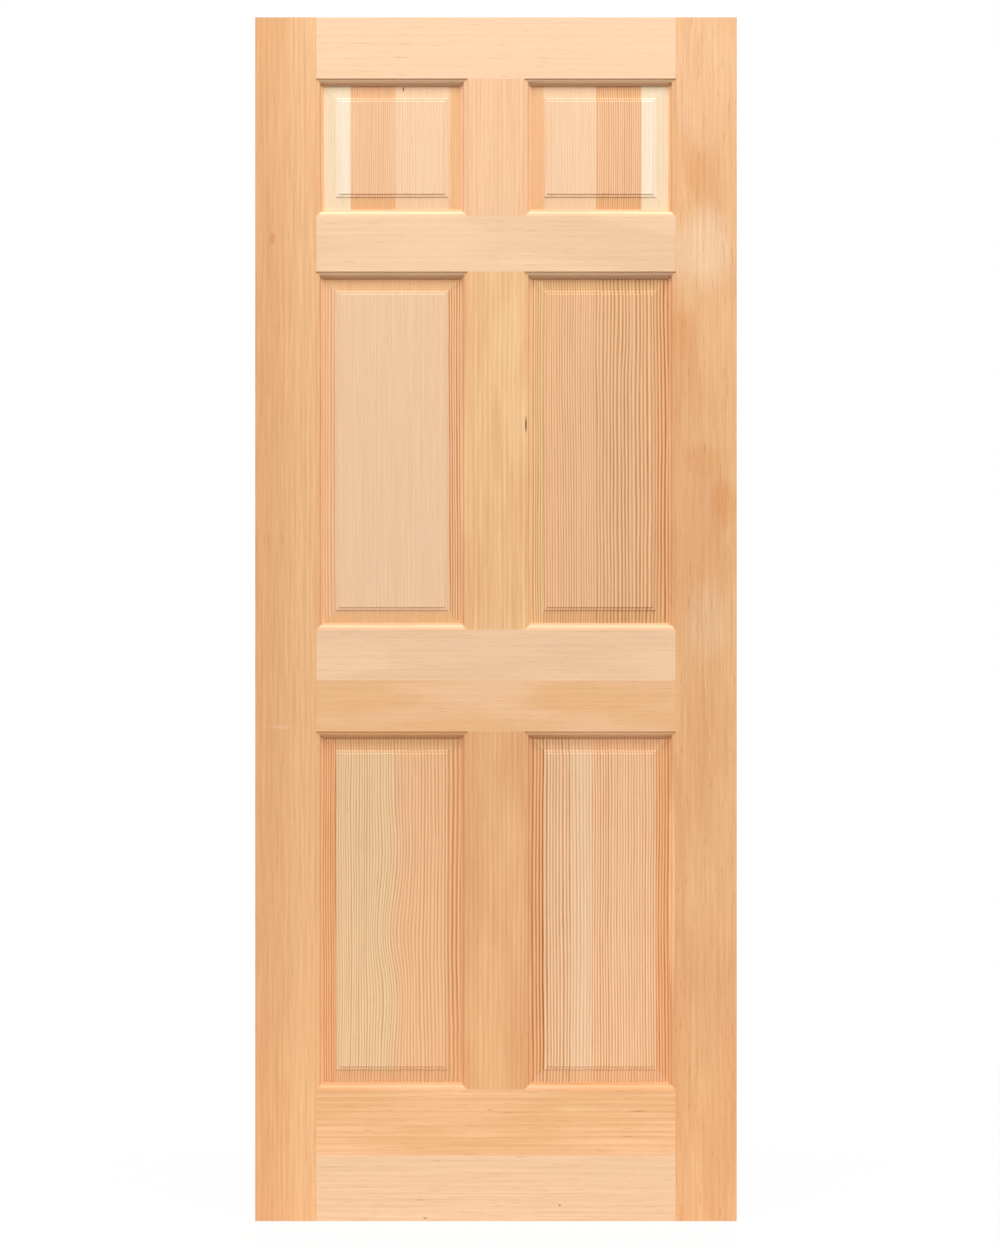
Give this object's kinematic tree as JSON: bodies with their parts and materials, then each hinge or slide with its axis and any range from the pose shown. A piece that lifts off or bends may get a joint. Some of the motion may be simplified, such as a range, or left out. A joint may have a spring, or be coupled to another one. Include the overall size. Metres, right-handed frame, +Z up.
{
  "type": "six-panel door",
  "caption": "Unfinished clear fir stile-and-rail door slab: raised panels in coped, moulded frame members, left unbored for hinges and lock.",
  "frame": {"origin": "on the hinge edge (the outer edge of the left stile), at the foot and in the middle of the thickness", "axes": "+X across the width to the lock edge, the shown face looks along -Y, +Z up"},
  "size_m": [0.8128, 0.0348, 2.032],
  "materials": {
    "fir_stiles": "bare sanded fir, straight grain up the stile",
    "fir_rails": "bare sanded fir, pale, grain along the rail",
    "fir_mullions": "bare sanded fir, grain up the mullion",
    "fir_panels": "bare fir staves with upright ring lines"
  },
  "bodies": {
    "root": {"bottom_left_panel_stave_1": "fir_panels", "bottom_left_panel_stave_2": "fir_panels", "bottom_left_panel_stave_3": "fir_panels", "bottom_mullion": "fir_mullions", "bottom_rail_lower_board": "fir_rails", "bottom_rail_upper_board": "fir_rails", "bottom_right_panel_stave_1": "fir_panels", "bottom_right_panel_stave_2": "fir_panels", "bottom_right_panel_stave_3": "fir_panels", "frieze_rail": "fir_rails", "left_stile": "fir_stiles", "lock_rail_lower_board": "fir_rails", "lock_rail_upper_board": "fir_rails", "middle_left_panel_stave_1": "fir_panels", "middle_left_panel_stave_2": "fir_panels", "middle_left_panel_stave_3": "fir_panels", "middle_left_panel_stave_4": "fir_panels", "middle_mullion": "fir_mullions", "middle_right_panel_stave_1": "fir_panels", "middle_right_panel_stave_2": "fir_panels", "middle_right_panel_stave_3": "fir_panels", "right_stile": "fir_stiles", "top_left_panel_stave_1": "fir_panels", "top_left_panel_stave_2": "fir_panels", "top_left_panel_stave_3": "fir_panels", "top_mullion": "fir_mullions", "top_rail": "fir_rails", "top_right_panel_stave_1": "fir_panels", "top_right_panel_stave_2": "fir_panels", "top_right_panel_stave_3": "fir_panels"}
  },
  "joints": []
}
